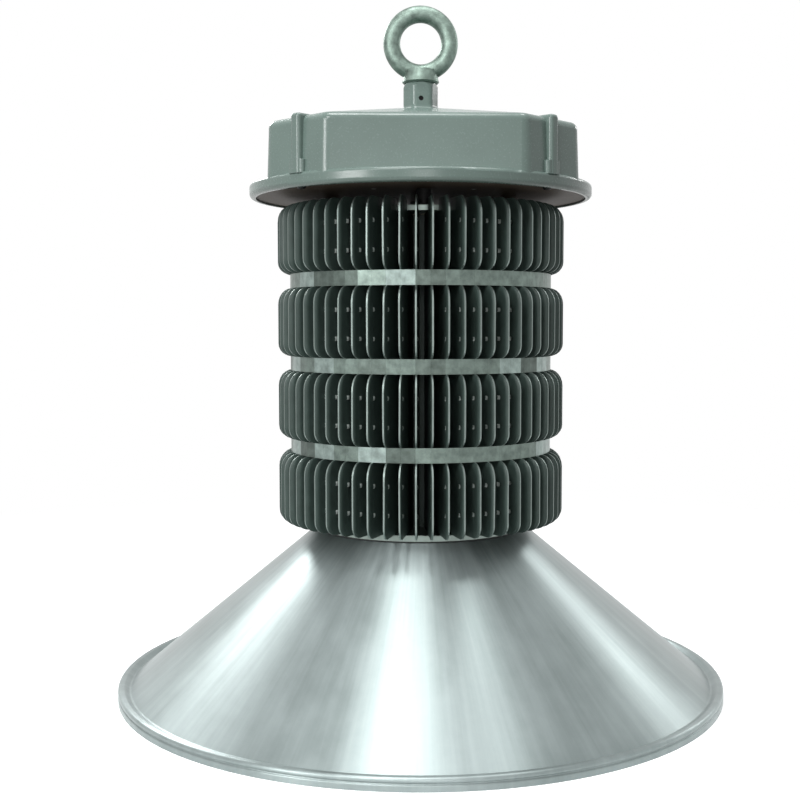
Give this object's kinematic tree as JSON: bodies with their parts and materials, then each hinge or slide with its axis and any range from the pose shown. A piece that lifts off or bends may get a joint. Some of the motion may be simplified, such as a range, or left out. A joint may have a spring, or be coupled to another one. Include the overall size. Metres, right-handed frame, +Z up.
{
  "type": "high bay light",
  "caption": "High bay light: spun conical reflector under a round stack of folded cooling fins, cast eight-sided driver cover and a lifting eye on top.",
  "frame": {"origin": "centre of the reflector's lower edge, at floor level when the light stands on its rim", "axes": "+Z up the light's axis to the lifting eye, +Y to the back where the cable gland is, +X to the right seen from the front"},
  "size_m": [0.4999, 0.5, 0.5623],
  "materials": {
    "galvanized_steel": "forged, hot-dip galvanized, dull and slightly speckled",
    "zinc_steel": "bright zinc plate",
    "black_steel": "black oxide",
    "cast_paint": "grey-green semi-gloss coat on a die casting",
    "base_sheet": "dark grey-brown coat on sheet",
    "rubber": "black silicone rubber",
    "driver_case": "plain extruded case, potted",
    "white_plastic": "white moulded plastic",
    "black_plastic": "black moulded nylon",
    "lead_sheath": "black sheath",
    "plate_aluminium": "milled plate, lightly oxidised",
    "core_aluminium": "dark oxidised tube",
    "fin_aluminium": "dark anodised sheet with bare cut edges and bands",
    "white_board": "white solder mask on a metal core",
    "phosphor": "yellow phosphor in clear silicone",
    "clear_glass": "clear pressed glass",
    "spun_aluminium": "satin spun aluminium"
  },
  "bodies": {
    "root": {"eye_bolt": "galvanized_steel", "eye_nut": "zinc_steel", "eye_set_screw": "black_steel", "driver_cover": "cast_paint", "cover_gasket": "rubber", "driver_base": "base_sheet", "cover_screws": "black_steel", "led_driver_left": "driver_case", "led_driver_right": "driver_case", "driver_screws": "zinc_steel", "terminal_block": "white_plastic", "terminal_screws": "zinc_steel", "gland_body": "black_plastic", "gland_nut": "black_plastic", "gland_seal": "rubber", "gland_locknut": "black_plastic", "lead_grommet": "rubber", "led_lead": "lead_sheath", "standoffs": "black_steel", "standoff_bolts": "black_steel", "top_plate": "plate_aluminium", "top_plate_screws": "zinc_steel", "heat_core": "core_aluminium", "cooling_fins": "fin_aluminium", "base_plate": "plate_aluminium", "base_screws": "zinc_steel", "led_board": "white_board", "cob_array": "phosphor", "cob_holder": "white_plastic", "holder_screws": "zinc_steel", "lens_gasket": "rubber", "glass_lens": "clear_glass", "lens_retainer": "plate_aluminium", "retainer_screws": "zinc_steel", "reflector_gasket": "rubber", "reflector": "spun_aluminium", "reflector_screws": "zinc_steel"}
  },
  "joints": []
}
